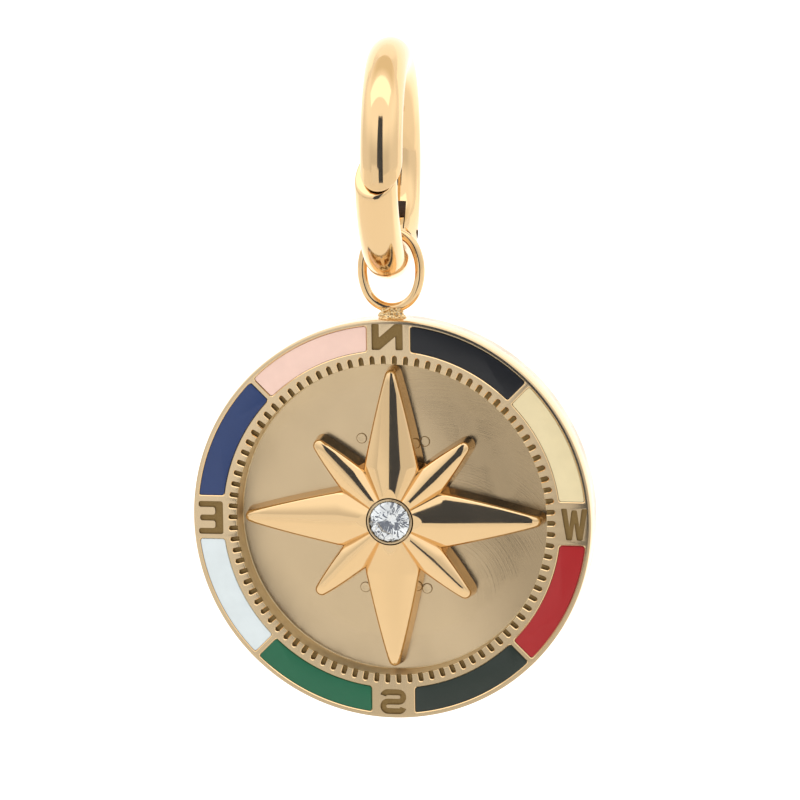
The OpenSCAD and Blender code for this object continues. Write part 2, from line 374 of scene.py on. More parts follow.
def rounded(corners, radius):
    # outline with each corner rounded by a curve that leaves it by that radius
    n = len(corners)
    outline = []
    for k in range(n):
        here = Vector(corners[k])
        back = Vector(corners[k - 1]) - here
        ahead = Vector(corners[(k + 1) % n]) - here
        reach = min(radius, 0.45 * back.length, 0.45 * ahead.length)
        outline += turned(here + back.normalized() * reach, here, here + ahead.normalized() * reach,
                          [s / 5 for s in range(6)])
    return [(p.x, p.y) for p in outline]


def anticlockwise(outline):
    area = sum(a[0] * b[1] - b[0] * a[1] for a, b in zip(outline, outline[1:] + outline[:1]))
    return outline if area > 0 else outline[::-1]


# The hoop clasp, drawn flat: its x runs to the back, its y up and its axis to the side.

hoop = {
    "centre": (0, 0, -3.91), "turn": 5.3,
    "ringRadius": 4.93, "wireRadius": 1.02, "hingeAngle": -58, "gateSkew": 2.1,
    "cutSlope": 49.4, "cutTilt": 4.8, "cutPoint": (-4.93, -0.19), "cutGap": 0.175,
    "lip": 0.12, "lipSteps": 6, "pastHinge": 14,
    "earRadius": 1.0, "earClear": 1.12, "slotRadius": 1.77, "slotHalf": 0.42, "knuckleHalf": 0.37,
    "pinRadius": 0.3, "pinFit": 0.03, "pinLength": 1.9, "pinEdge": 0.05,
    "postRadius": 0.33, "postRoot": 7, "postReach": 4.5, "postShort": 0.6, "postTip": 0.1,
    "holeRadius": 0.42, "holeRoot": 12, "holeReach": 0.7,
    "along": 220, "around": 112, "edge": 0.03, "clear": 2, "earCut": 2.2,
}
hoopPlace = (Matrix.Translation(hoop["centre"]) @ Matrix.Rotation(radians(hoop["turn"]), 4, "Z")
             @ Matrix(((0, 0, 1, 0), (1, 0, 0, 0), (0, 1, 0, 0), (0, 0, 0, 1))))
pinU = hoop["ringRadius"] * cos(radians(hoop["hingeAngle"]))
pinV = hoop["ringRadius"] * sin(radians(hoop["hingeAngle"]))
postArm = (hoop["cutPoint"][0] - pinU, hoop["cutPoint"][1] - pinV)
postAngle = degrees(atan2(postArm[1], postArm[0]))
# the second finish is dull gold painted dark brown with the shade of hollows
hoopMaterials = [gold, shadedCastGold]


def wirePoint(ring, wire, along, around):
    r = ring + wire * cos(around)
    return Vector((r * cos(along), r * sin(along), wire * sin(around)))


def cutAngle(offset, ring, side=0.0):
    # where a circle about the hoop's axis, that far to the side, meets the parting plane moved by offset
    normal, tilt = radians(90 + hoop["cutSlope"]), radians(hoop["cutTilt"])
    reach = hoop["cutPoint"][0] * cos(normal) + hoop["cutPoint"][1] * sin(normal)
    return normal + acos(min(1, (offset + side * sin(tilt) + reach * cos(tilt)) / (ring * cos(tilt))))


def hoopPart(name, side, gap):
    # side 1 runs from the parting over the top to the hinge, -1 from the parting along the bottom
    ring, wire = hoop["ringRadius"], hoop["wireRadius"]
    hinge = radians((0 if side > 0 else 360) + hoop["hingeAngle"] - side * hoop["pastHinge"])
    arounds = [fullTurn * k / hoop["around"] for k in range(hoop["around"])]

    def cutRow(offset):
        # angles along the hoop, one for each point round the wire, on the moved parting plane
        return [cutAngle(offset, ring + wire * cos(a), wire * sin(a)) for a in arounds]

    rings = []
    for s in range(hoop["lipSteps"] + 1):
        turn = pi / 2 * (1 - s / hoop["lipSteps"])
        inside = gap + side * hoop["lip"] * (1 - sin(turn))
        inset = hoop["lip"] * (1 - cos(turn))
        middle = wirePoint(ring, 0, cutAngle(inside, ring), 0)
        loop = [wirePoint(ring, wire, along, a) for along, a in zip(cutRow(inside), arounds)]
        rings.append([p + (middle - p).normalized() * inset for p in loop])
    starts = cutRow(gap + side * hoop["lip"])
    for s in range(1, hoop["along"] + 1):
        t = s / hoop["along"]
        rings.append([wirePoint(ring, wire, start * (1 - t) + hinge * t, a)
                      for start, a in zip(starts, arounds)])
    # the bow's closed end inside the gap gets the second finish, dark with painted shade
    slots = [0] * (hoop["around"] * (len(rings) - 1)) + [1, 0]
    return skin(name, rings, hoopMaterials, slots if side > 0 else 0)


def bentRod(name, wire, first, last, tip):
    # rod bent about the hinge pin, from first to last degrees, with a rounded far end
    reach = hypot(*postArm)
    steps, tipSteps, around = 24, 5, 40
    stops = [(radians(first + (last - first) * k / steps), wire) for k in range(steps + 1)]
    for k in range(1, tipSteps + 1):
        turn = pi / 2 * k / tipSteps
        stops.append((radians(last) + tip / reach * sin(turn), wire - tip * (1 - cos(turn))))
    middle = Vector((pinU, pinV, 0))
    rings = [[wirePoint(reach, radius, along, fullTurn * k / around) + middle for k in range(around)]
             for along, radius in stops]
    # the whole rod gets the finish with painted shade
    return skin(name, rings, hoopMaterials, 1)


def aboutPin(name, radius, low, high):
    # the faces it cuts get the finish with painted shade
    return prism(name, arc(pinU, pinV, radius, 0, fullTurn, 72)[:-1], low, high, hoopMaterials, 1)


def pastPin(name, side, radius):
    # what lies past the pin on one side of its radial plane, but for a round end of that radius
    wide, far = 2.4, 3 * side
    outline = [(wide, 0)] + arc(0, 0, radius, 0, side * pi, 36) + [(-wide, 0), (-wide, far), (wide, far)]
    if side > 0:
        outline.reverse()
    turn = radians(hoop["hingeAngle"])
    outline = [(pinU + x * cos(turn) - y * sin(turn), pinV + x * sin(turn) + y * cos(turn))
               for x, y in outline]
    return prism(name, outline, -hoop["clear"], hoop["clear"], hoopMaterials)


def claspBow():
    bow = hoopPart("claspBow", 1, hoop["cutGap"])
    combine(bow, [bentRod("post", hoop["postRadius"], postAngle - hoop["postRoot"],
                          postAngle + hoop["postReach"] - hoop["postShort"], hoop["postTip"])], "UNION")
    combine(bow, [
        pastPin("end", -1, hoop["earRadius"]),
        aboutPin("slot", hoop["slotRadius"], -hoop["slotHalf"], hoop["slotHalf"]),
        aboutPin("bore", hoop["pinRadius"] + hoop["pinFit"], -hoop["clear"], hoop["clear"]),
    ])
    settle(shade(soften(bow, hoop["edge"]), 32), "clasp_bow", body="bow", place=hoopPlace)


def claspGate():
    gate = hoopPart("claspGate", -1, 0)
    skew = (Matrix.Translation((pinU, 0, 0)) @ Matrix.Rotation(radians(-hoop["gateSkew"]), 4, "Y")
            @ Matrix.Translation((-pinU, 0, 0)))
    gate.data.transform(skew)
    combine(gate, [
        pastPin("end", 1, hoop["earRadius"]),
        aboutPin("earLeft", hoop["earClear"], hoop["knuckleHalf"], hoop["earCut"]),
        aboutPin("earRight", hoop["earClear"], -hoop["earCut"], -hoop["knuckleHalf"]),
        aboutPin("bore", hoop["pinRadius"] + hoop["pinFit"], -hoop["clear"], hoop["clear"]),
        bentRod("hole", hoop["holeRadius"], postAngle - hoop["postRoot"] - hoop["holeRoot"],
                postAngle + hoop["postReach"] + hoop["holeReach"], hoop["postTip"]),
    ])
    settle(shade(soften(gate, hoop["edge"]), 32), "clasp_gate", body="gate", place=hoopPlace)


def hingePin():
    half, r, edge = hoop["pinLength"] / 2, hoop["pinRadius"], hoop["pinEdge"]
    pin = lathe("hingePin", [(0, -half), (r - edge, -half), (r, -half + edge), (r, half - edge),
                             (r - edge, half), (0, half)], 48, hoopMaterials, [0] * 5)
    pin.data.transform(Matrix.Translation((pinU, pinV, 0)))
    settle(shade(pin, 50), "hinge_pin", body="bow", place=hoopPlace)


claspBow()
claspGate()
hingePin()
print("hoop clasp made")


# The dial, drawn with its centre at the origin.

dial = {
    "radius": 10.0, "half": 1.05, "edge": 0.12, "recess": 7.8, "floor": -0.4, "foot": 0.07, "lip": 0.035,
    # the face's outer edge: how far in from the rim, how far below the face
    "rollOff": ((0, 0.13), (0.006, 0.095), (0.02, 0.06), (0.045, 0.034), (0.085, 0.017), (0.13, 0.0065),
                (0.19, 0)),
    "cellIn": 8.5, "cellOut": 9.73, "letterHalf": 1.11, "webHalf": 0.145, "cellCorner": 0.14,
    "cellFloor": 0.78, "cellFit": 0.02, "cellSink": 0.03, "cellEdge": 0.02, "steps": 360,
    "hand": -1,             # picture side of the east letter
}
ticks = {"count": 90, "inner": 7.5, "outer": 8.22, "width": 0.215, "depth": 0.22}
cutEdge = 0.035         # small chamfer along every cell and tick
cutAbove = 0.3          # how far their cutters stand above the face
# the solder: how far it sinks into the dial and climbs the ring, its waist, foot and head, its ridges
neck = {"sink": 0.14, "climb": 0.3, "waist": 0.5, "foot": 0.22, "head": 0.08, "flat": 0.85,
        "least": 0.93, "ridge": 0.3, "coarse": 3.1, "fine": 7.3, "steps": 72, "levels": 26}
hanger = {"width": 2.88, "height": 3.75, "wire": 0.245, "inset": 0.11, "lift": 0.23, "seat": 0.24,
          "steps": 240, "around": 40}      # width and height of the ring's centre line


def cellOutline(grow):
    # the cell to the right of the top letter, anticlockwise
    inner, outer = dial["cellIn"] - grow, dial["cellOut"] + grow
    left = dial["letterHalf"] - grow
    web = (dial["webHalf"] - grow) * sqrt(2)

    def meets(radius):
        # where a circle meets the straight side x = left and the slanted side y = x + web
        slant = (-web + sqrt(2 * radius ** 2 - web ** 2)) / 2
        return atan2(sqrt(radius ** 2 - left ** 2), left), atan2(slant + web, slant)

    corner = dial["cellCorner"]
    arcSteps, turnSteps = 40, 7
    arcs = []
    for radius, first, last in ((outer, *reversed(meets(outer))), (inner, *meets(inner))):
        trim = corner / radius * (1 if last > first else -1)
        arcs.append([Vector(p) for p in arc(0, 0, radius, first + trim, last - trim, arcSteps)])
    ends = [(meets(outer)[0], outer), (meets(inner)[0], inner), (meets(inner)[1], inner),
            (meets(outer)[1], outer)]
    apex = [Vector((r * cos(a), r * sin(a))) for a, r in ends]
    down = (apex[1] - apex[0]).normalized() * corner
    up = (apex[3] - apex[2]).normalized() * corner
    stops = [k / turnSteps for k in range(1, turnSteps)]
    points = []
    for side, nextSide, first, last, step in ((arcs[0], arcs[1], apex[0], apex[1], down),
                                              (arcs[1], arcs[0], apex[2], apex[3], up)):
        points += side + turned(side[-1], first, first + step, stops) + [first + step, last - step]
        points += turned(last - step, last, nextSide[0], stops)
    return [(p.x, p.y) for p in points]


def cellAt(outline, axis, side):
    # outline moved to a letter's axis angle, on its clockwise (1) or anticlockwise (-1) side
    turn = radians(axis - 90)
    flip = -dial["hand"]
    moved = []
    for x, y in outline:
        x *= side
        moved.append((flip * (x * cos(turn) - y * sin(turn)), x * sin(turn) + y * cos(turn)))
    return anticlockwise(moved)


cells = {   # a letter's axis in degrees, and the side of it on which the cell lies
    "enamel_black": (90, 1), "enamel_cream": (0, -1), "enamel_red": (0, 1), "enamel_dark_green": (270, -1),
    "enamel_green": (270, 1), "enamel_white": (180, -1), "enamel_blue": (180, 1), "enamel_pink": (90, -1),
}


letters = {
    "corner": 0.07, "depth": 0.1, "half": 0.65, "cutAbove": 0.5,
    "stroke": {"reach": 0.27, "radius": 0.24, "half": 0.15},      # the S: one stroke along four arcs
}


def letterOutlines():
    # upright letters and their places, as they read on a right-handed dial
    h = letters["half"]
    corners = [(-0.78, -h), (-0.41, -h), (-0.41, h - 0.62), (0.38, -h), (0.78, -h)]
    n = ((-0.05 * dial["hand"], 9.16), rounded(corners + [(-x, -y) for x, y in corners], letters["corner"]))
    e = ((9.11, -0.03), rounded([
        (-0.63, -0.83), (0.61, -0.83), (0.61, -0.53), (-0.23, -0.53), (-0.23, -0.155), (0.54, -0.155),
        (0.54, 0.145), (-0.23, 0.145), (-0.23, 0.53), (0.61, 0.53), (0.61, 0.83), (-0.63, 0.83)],
        2 * letters["corner"]))
    w = ((-9.17, -0.02), rounded([
        (-0.66, 0.79), (-0.40, -0.79), (-0.12, -0.79), (0.0, 0.05), (0.12, -0.79), (0.40, -0.79),
        (0.66, 0.79), (0.37, 0.79), (0.25, -0.12), (0.13, 0.72), (-0.13, 0.72), (-0.25, -0.12),
        (-0.37, 0.79)], letters["corner"]))
    stroke = letters["stroke"]
    reach, radius, half = stroke["reach"], stroke["radius"], stroke["half"]
    centre = []
    for x, y, first, last in ((reach, radius, 15, 90), (-reach, radius, 90, 270),
                              (reach, -radius, 90, -90), (-reach, -radius, -90, -165)):
        centre += arc(x, y, radius, radians(first), radians(last), 9)
    left, right = [], []
    for k, (x, y) in enumerate(centre):
        x0, y0 = centre[max(0, k - 1)]
        x1, y1 = centre[min(len(centre) - 1, k + 1)]
        size = hypot(x1 - x0, y1 - y0)
        nx, ny = -(y1 - y0) / size, (x1 - x0) / size
        left.append((x + nx * half, y + ny * half))
        right.append((x - nx * half, y - ny * half))
    s = ((0, -9.16), right + left[::-1])
    return {"n": n, "e": e, "w": w, "s": s}


def letterCutters():
    low, high = dial["half"] - letters["depth"], dial["half"] + letters["cutAbove"]
    cutters = []
    for name, ((atX, atY), shape) in letterOutlines().items():
        moved = anticlockwise([(dial["hand"] * (x + atX), y + atY) for x, y in shape])
        # letters get the engraving's painted shade
        cutters.append(prism("letter_" + name, moved, low, high, dialMaterials, 2))
    return cutters


def tickOutline(grow):
    half = ticks["width"] / 2
    end = ticks["outer"] - half
    half += grow
    return [(ticks["inner"], -half)] + arc(end, 0, half, -pi / 2, pi / 2, 8) + [(ticks["inner"], half)]


def flared(name, outlines, low, slot):
    # cutter with a chamfered mouth: outlines at the floor, under the mouth, at the mouth and above it
    heights = (low, dial["half"] - cutEdge, dial["half"], dial["half"] + cutAbove)
    rings = [[(x, y, z) for x, y in outline] for outline, z in zip(outlines, heights)]
    n = len(rings[0])
    return skin(name, rings, dialMaterials, [slot] * n + [0] * (2 * n) + [slot, 0])


def tickSlots():
    # one slot, repeated round the dial with Geometry Nodes
    grows = (0, 0, cutEdge, cutEdge)
    slot = flared("tickSlot", [tickOutline(g) for g in grows], dial["half"] - ticks["depth"], 2)
    tree = bpy.data.node_groups.new("repeatRound", "GeometryNodeTree")
    tree.interface.new_socket("Slot", in_out="INPUT", socket_type="NodeSocketGeometry")
    count = tree.interface.new_socket("Count", in_out="INPUT", socket_type="NodeSocketInt")
    tree.interface.new_socket("Slots", in_out="OUTPUT", socket_type="NodeSocketGeometry")
    source = addNode(tree, "NodeGroupInput")
    spots = addNode(tree, "GeometryNodeMeshLine", {"Count": source.outputs["Count"], "Offset": (0, 0, 0)})
    index = addNode(tree, "GeometryNodeInputIndex")
    share = addNode(tree, "Math", {0: index, 1: source.outputs["Count"]}, operation="DIVIDE")
    turn = addNode(tree, "Math", {0: share, 1: fullTurn}, operation="MULTIPLY")
    angles = addNode(tree, "CombineXYZ", {"Z": turn})
    copies = addNode(tree, "GeometryNodeInstanceOnPoints",
                     {"Points": spots, "Instance": source.outputs["Slot"], "Rotation": angles})
    real = addNode(tree, "GeometryNodeRealizeInstances", {"Geometry": copies})
    # the slot's floor and walls get the engraving's painted shade
    face = addNode(tree, "GeometryNodeInputMaterialIndex")
    chosen = addNode(tree, "FunctionNodeCompare", {"A": face, "B": 2}, data_type="INT", operation="EQUAL")
    dressed = addNode(tree, "GeometryNodeSetMaterial",
                      {"Geometry": real, "Selection": chosen, "Material": shadedEngraving})
    addNode(tree, "NodeGroupOutput", {0: dressed})
    repeat = slot.modifiers.new("repeat", "NODES")
    repeat.node_group = tree
    repeat[count.identifier] = ticks["count"]
    return evaluated(slot)


def ovalPath():
    # centre line of the hanging ring: two end arcs and two side arcs, tangent
    a, b = hanger["width"] / 2, hanger["height"] / 2
    endRadius = a - hanger["inset"]
    endY = b - endRadius
    sideX = (endY ** 2 - hanger["inset"] ** 2) / (2 * hanger["inset"])
    sideRadius = a + sideX
    split = atan2(endY, sideX)
    path = []
    for (x, y), radius, first, last in (
        ((-sideX, 0), sideRadius, -split, split), ((0, endY), endRadius, split, pi - split),
        ((sideX, 0), sideRadius, pi - split, pi + split),
        ((0, -endY), endRadius, pi + split, fullTurn - split),
    ):
        path += [Vector(p) for p in arc(x, y, radius, first, last, hanger["steps"] // 4)[:-1]]
    return path


def hangerRing():
    path = ovalPath()
    centreY = dial["radius"] + hanger["lift"] + hanger["height"] / 2 + hanger["seat"]
    rings = []
    for k, here in enumerate(path):
        run = (path[(k + 1) % len(path)] - path[k - 1]).normalized()
        rings.append([(here.x + run.y * out, centreY + here.y - run.x * out, side)
                      for out, side in circle(hanger["wire"], hanger["around"])])
    return skin("hangerRing", rings, dialMaterials, looped=True)


def solderNeck():
    # rough solder between the dial's top and the ring, in small frozen ridges
    low, high = dial["radius"] - neck["sink"], dial["radius"] + hanger["lift"] + neck["climb"]
    rings = []
    for level in range(neck["levels"] + 1):
        t = level / neck["levels"]
        height = low + (high - low) * t
        waist = neck["waist"] + neck["foot"] * (1 - t) ** 2 + neck["head"] * t ** 3
        loop = []
        for x, z in circle(1, neck["steps"]):
            p = Vector((x, z, height * 2.0))
            fine = noise.noise(p * neck["fine"] + Vector((5, 1, 2)))
            ridge = abs(noise.noise(p * neck["coarse"])) + 0.5 * abs(fine)
            r = waist * (neck["least"] + neck["ridge"] * ridge)
            loop.append((r * x, height, -neck["flat"] * r * z))
        rings.append(loop)
    return skin("solderNeck", rings, dialMaterials, 3)


dialMaterials = [gold, satin, shadedEngraving, solder, lapped, unbuffed]


def medallion():
    r, half, edge, lip, foot = dial["radius"], dial["half"], dial["edge"], dial["lip"], dial["foot"]
    bulge = 0.3 * edge      # how far the back edge's rounding stands in from a sharp corner
    profile = [(0, -half), (r - edge - 0.05, -half), (r - edge, -half), (r - bulge, -half + bulge),
               (r, -half + edge)]
    bands = [4, 4, 0, 0]
    # the face rolls off slowly towards its outer edge
    profile += [(r - back, half - down) for back, down in dial["rollOff"]]
    bands += [0] * (len(dial["rollOff"]) - 4) + [4] * 4
    profile += arc(dial["recess"] + lip, half - lip, lip, pi / 2, pi, 4)
    profile += arc(dial["recess"] - foot, dial["floor"] + foot, foot, 0, -pi / 2, 4)
    profile += [(radius, dial["floor"]) for radius in (6, 3, 0)]
    bands += [4] + [5] * 9 + [1] * 3
    body = lathe("dialBody", profile, dial["steps"], dialMaterials, bands)
    fit = dial["cellFit"]
    grows = (fit, fit, fit + cutEdge, fit + cutEdge)
    cutters = [flared("cell", [cellAt(cellOutline(g), *place) for g in grows], dial["cellFloor"] - fit, 4)
               for place in cells.values()]
    cutters += letterCutters()
    cutters.append(tickSlots())
    combine(body, cutters)
    print("dial cut")
    combine(body, [solderNeck()], "UNION")
    combine(body, [hangerRing()], "UNION")
    settle(shade(body, 28), "medallion")


def enamelCells():
    for name, place in cells.items():
        cell = prism(name.replace("_", "-"), cellAt(cellOutline(0), *place), dial["cellFloor"],
                     dial["half"] - dial["cellSink"], [hardEnamel(name)])
        settle(shade(soften(cell, dial["cellEdge"]), 40), name)


medallion()
enamelCells()
print("dial and enamel made")


# The star: its arms are gables that meet in a shallow dish round the stone.

star = {
    "longTip": 7.55, "shortTip": 5.54, "corner": 3.05, "cornerAngle": 28.8, "cornerZ": 0.72,
    "longRound": 0.4, "shortRound": 0.42, "longBulge": 0.045, "shortBulge": 0.03,
    "peak": 1.57, "longTipZ": 0.74, "shortTipZ": 0.84, "longLean": 42, "shortLean": 48,
    "tipRoll": 0.7, "tipDrop": 0.16, "tipFall": 0.02, "draft": 0.1, "edge": 0.3, "tipEdge": 0.24,
    "base": -0.38, "dishRadius": 1.62, "dishSlope": 0.045, "dishEnd": 2.6, "hole": 1.19,
    "along": 44, "tipSteps": 9, "edgeSteps": 6, "dishRows": 6, "flankRows": 26,
}


def armShape(kind):
    # one arm along x: its outline with outward normals, and the height over a point of it
    tip, tipZ = star[kind + "Tip"], star[kind + "TipZ"]
    spread = radians(star["cornerAngle"] if kind == "long" else 45 - star["cornerAngle"])
    cornerX, cornerY = star["corner"] * cos(spread), star["corner"] * sin(spread)
    tipRound, bulge, lean = star[kind + "Round"], star[kind + "Bulge"], radians(star[kind + "Lean"])
    run = atan2(cornerY, tip - cornerX)
    for _ in range(4):      # the side is tangent to the round tip
        sharpTip = tip + tipRound * (1 / sin(run) - 1)
        run = atan2(cornerY, sharpTip - cornerX)

    def height(x, y):
        # across the arm the slope grows evenly from the ridge to the edge
        ridge = star["peak"] - (star["peak"] - tipZ) * x / tip
        if x <= cornerX:
            reach = x * tan(spread)
            edge = star["peak"] + (star["cornerZ"] - star["peak"]) * x / cornerX
        else:
            share = (x - cornerX) / (sharpTip - cornerX)
            reach = cornerY * (1 - share) + 0.001       # never zero
            edge = star["cornerZ"] + (tipZ - star["tipFall"] - star["cornerZ"]) * share
        t = min(1.1, abs(y) / reach)        # 1 at the edge
        roll = max(0, (x - tip + star["tipRoll"]) / star["tipRoll"])
        return ridge - (ridge - edge) * log(cos(lean * t)) / log(cos(lean)) - star["tipDrop"] * roll ** 2

    outline = []
    for k in range(star["tipSteps"]):
        a = (pi / 2 - run) * k / star["tipSteps"]
        outline.append((tip - tipRound + tipRound * cos(a), tipRound * sin(a), cos(a), sin(a)))
    a = pi / 2 - run
    startX, startY = tip - tipRound + tipRound * cos(a), tipRound * sin(a)
    length = hypot(startX - cornerX, cornerY - startY)
    nx, ny = cos(a), sin(a)
    for k in range(star["along"] + 1):
        t = k / star["along"]
        out = bulge * 4 * t * (1 - t)
        tilt = bulge * 4 * (1 - 2 * t) / length
        outline.append((startX + (cornerX - startX) * t + nx * out,
                        startY + (cornerY - startY) * t + ny * out, nx + ny * tilt, ny - nx * tilt))
    # at the inner corner the offset runs along the valley
    x, y, _, _ = outline[-1]
    miter = 1 / sin(spread + run)
    outline[-1] = (x, y, cos(spread) * miter, sin(spread) * miter)
    return outline, height


def dishHeight(r):
    slope = (star["peak"] - star["longTipZ"]) / star["longTip"]
    return star["peak"] - slope * star["dishRadius"] + (r - star["dishRadius"]) * star["dishSlope"]


def armColumns(kind):
    # columns of points from the stone's hole over the flank and its edge down to the base
    outline, height = armShape(kind)
    hole = star["hole"]
    columns = []
    for c, (x, y, nx, ny) in enumerate(outline):
        edge = star["tipEdge"] + (star["edge"] - star["tipEdge"]) * c / (len(outline) - 1)
        # the edge's rounding takes over where the flank reaches it, at the flank's own slope
        outX, outY = x - nx * star["draft"], y - ny * star["draft"]
        step = 0.05
        fall = height(outX - nx * step, outY - ny * step) - height(outX, outY)
        slope = atan2(max(0.0, fall), step)
        inward = star["draft"] + edge * (1 - sin(slope))
        inX, inY = x - nx * inward, y - ny * inward
        reach = hypot(inX, inY)
        dx, dy = inX / reach, inY / reach
        low, high = hole, star["dishEnd"]
        for _ in range(30):
            middle = (low + high) / 2
            if height(dx * middle, dy * middle) > dishHeight(middle):
                low = middle
            else:
                high = middle
        border = max(low, hole + 0.01)
        column = [(dx * hole, dy * hole, star["base"])]
        for k in range(star["dishRows"]):
            r = hole + (border - hole) * k / star["dishRows"]
            column.append((dx * r, dy * r, dishHeight(r)))
        for k in range(star["flankRows"] + 1):
            r = border + (reach - border) * k / star["flankRows"]
            column.append((dx * r, dy * r, height(dx * r, dy * r)))
        edgeZ = column[-1][2]
        for k in range(1, star["edgeSteps"] + 1):
            b = slope + (pi / 2 - slope) * k / star["edgeSteps"]
            out = star["draft"] + edge * (1 - sin(b))
            column.append((x - nx * out, y - ny * out, edgeZ - edge * (cos(slope) - cos(b))))
        column.append((x, y, star["base"]))
        columns.append(column)
    return columns


def compassStar():
    points, faces, zones = [], [], []
    dish, softEdge, wall, inside = 8, 9, 10, 11
    flankStart = 1 + star["dishRows"]
    edgeStart = flankStart + star["flankRows"]
    for index in range(8):
        turn = radians(45 * index)
        columns = armColumns("long" if index % 2 == 0 else "short")
        rows = len(columns[0])
        for side in (1, -1):
            start = len(points)
            for column in columns:
                points += [(x * cos(turn) - side * y * sin(turn), x * sin(turn) + side * y * cos(turn), z)
                           for x, y, z in column]
            for c in range(len(columns) - 1):
                a, b = start + c * rows, start + (c + 1) * rows
                for k in range(rows):
                    j = (k + 1) % rows
                    faces.append((a + k, a + j, b + j, b + k))
                    if k == 0 or k == rows - 1:
                        zones.append(inside)
                    elif k < flankStart:
                        zones.append(dish)
                    elif k < edgeStart:
                        zones.append(index)
                    else:
                        zones.append(softEdge if k < rows - 2 else wall)
    # while the edges are marked, each arm and each zone has a slot of its own
    piece = newPiece("compassStar", points, faces, [gold] * 12, zones)
    mesh = piece.data
    work = bmesh.new()
    work.from_mesh(mesh)
    bmesh.ops.remove_doubles(work, verts=work.verts, dist=2e-4)
    bmesh.ops.recalc_face_normals(work, faces=work.faces)
    for edge in work.edges:
        ids = sorted({face.material_index for face in edge.link_faces})
        if len(ids) == 2:
            edge.smooth = ids[1] in (softEdge, wall)     # crisp valleys and dish, soft edges
        else:
            edge.smooth = edge.calc_face_angle(0) < radians(35)
    for face in work.faces:
        face.smooth = True
        face.material_index = 1 if face.material_index in (dish, wall, inside) else 0
    work.to_mesh(mesh)
    work.free()
    mesh.materials.clear()
    for material in (gold, unbuffed):
        mesh.materials.append(material)
    settle(piece, "compass_star")


# The stone with its bezel, and the pegs.

stone = {
    "radius": 1.0, "girdle": 1.35, "girdleHeight": 0.045, "crown": 0.30, "table": 0.56,
    "middle": 0.79, "belly": 0.22, "pavilion": 0.86, "turn": 7,
    "middleHeight": 0.55, "bellyDepth": 0.775,      # shares of the crown and of the pavilion
    "bezelIn": 1.02, "bezelOut": 1.13, "rim": 1.43, "foot": 0.24, "bezelEdge": 0.045, "bezelSteps": 128,
    "chamfer": 0.03, "footHole": 0.6, "seatDepth": 0.4,
}


def centerStone():
    # round brilliant: table, star, kite and upper girdle facets, then the pavilion
    r, base = stone["radius"], stone["girdle"] + stone["girdleHeight"]
    points = []

    def ring(count, radius, height, offset):
        first = len(points)
        for k in range(count):
            a = fullTurn * (k + offset) / count
            points.append((radius * cos(a), radius * sin(a), height))
        return list(range(first, first + count))

    table = ring(8, stone["table"] * r, base + stone["crown"], 0)
    middle = ring(8, stone["middle"] * r, base + stone["crown"] * stone["middleHeight"], 0.5)
    upper = ring(16, r, base, 0)
    lower = ring(16, r, stone["girdle"], 0)
    belly = ring(8, stone["belly"] * r, stone["girdle"] - stone["pavilion"] * stone["bellyDepth"], 0.5)
    points.append((0, 0, stone["girdle"] - stone["pavilion"]))
    culet = len(points) - 1
    faces = [tuple(table)]
    for k in range(8):
        a, b, c = 2 * k, 2 * k + 1, (2 * k + 2) % 16
        faces += [(table[k], middle[k], table[(k + 1) % 8]), (table[k], middle[k - 1], upper[a], middle[k]),
                  (middle[k], upper[a], upper[b]), (middle[k], upper[b], upper[c]),
                  (belly[k], lower[b], lower[a]), (belly[k], lower[c], lower[b]),
                  (culet, belly[k], lower[a], belly[k - 1])]
    faces += [(upper[k], lower[k], lower[(k + 1) % 16], upper[(k + 1) % 16]) for k in range(16)]
    piece = outwards(newPiece("centerStone", points, faces, [clearStone]))
    piece.data.transform(Matrix.Rotation(radians(stone["turn"]), 4, "Z"))
    settle(piece, "center_stone")


def stoneBezel():
    inner, outer, rim, edge = stone["bezelIn"], stone["bezelOut"], stone["rim"], stone["bezelEdge"]
    hole, chamfer, girdle = inner * stone["footHole"], stone["chamfer"], stone["girdle"]
    profile = [(hole, stone["foot"]), (outer, stone["foot"])]
    profile += arc(outer - edge, rim - edge, edge, 0, pi / 2, 4)
    profile += [(inner + chamfer, rim), (inner, rim - chamfer), (inner, girdle - chamfer),
                (hole, girdle - stone["seatDepth"])]
    rings = [[(radius * x, radius * y, z) for radius, z in profile]
             for x, y in circle(1, stone["bezelSteps"])]
    piece = skin("stoneBezel", rings, [lapped], looped=True)
    settle(shade(piece, 35), "stone_bezel")


pegs = {
    "radius": 0.265, "rise": 0.04, "sink": 0.35, "edge": 0.035, "flat": 0.55, "hollow": 0.006,
    "spots": {"dial_peg_1": (-1.68, 3.86), "dial_peg_2": (1.5, 3.75), "dial_peg_3": (1.53, -3.66),
              "dial_peg_4": (-1.6, -3.66)},
}


def dialPegs():
    r, edge, low = pegs["radius"], pegs["edge"], dial["floor"] - pegs["sink"]
    top = dial["floor"] + pegs["rise"]
    for name, (x, y) in pegs["spots"].items():
        profile = [(0, low), (r, low)] + arc(r - edge, top - edge, edge, 0, pi / 2, 4)
        profile += [(r * pegs["flat"], top - pegs["hollow"]), (0, top - pegs["hollow"])]
        # the side and the rounded edge get the engraving's painted shade, where the seam round a peg is
        # dark
        peg = lathe(name.replace("_", "-"), profile, 40, [satin, shadedEngraving], [1] * 6 + [0, 0])
        peg.data.transform(Matrix.Translation((x, y, 0)))
        settle(shade(peg, 40), name)


compassStar()
centerStone()
stoneBezel()
dialPegs()
print("star, stone and pegs made")


# Stage, light and camera.

view = {"azimuth": 10.9, "elevation": 10.5, "roll": -0.83, "distance": 250.0, "scale": 20.24,
        "targetPixel": (390.7, 520.6), "imageWidth": 800, "sensor": 36.0}


def direction(azimuth, elevation):
    a, e = radians(azimuth), radians(elevation)
    return Vector((sin(a) * cos(e), -cos(a) * cos(e), sin(e)))


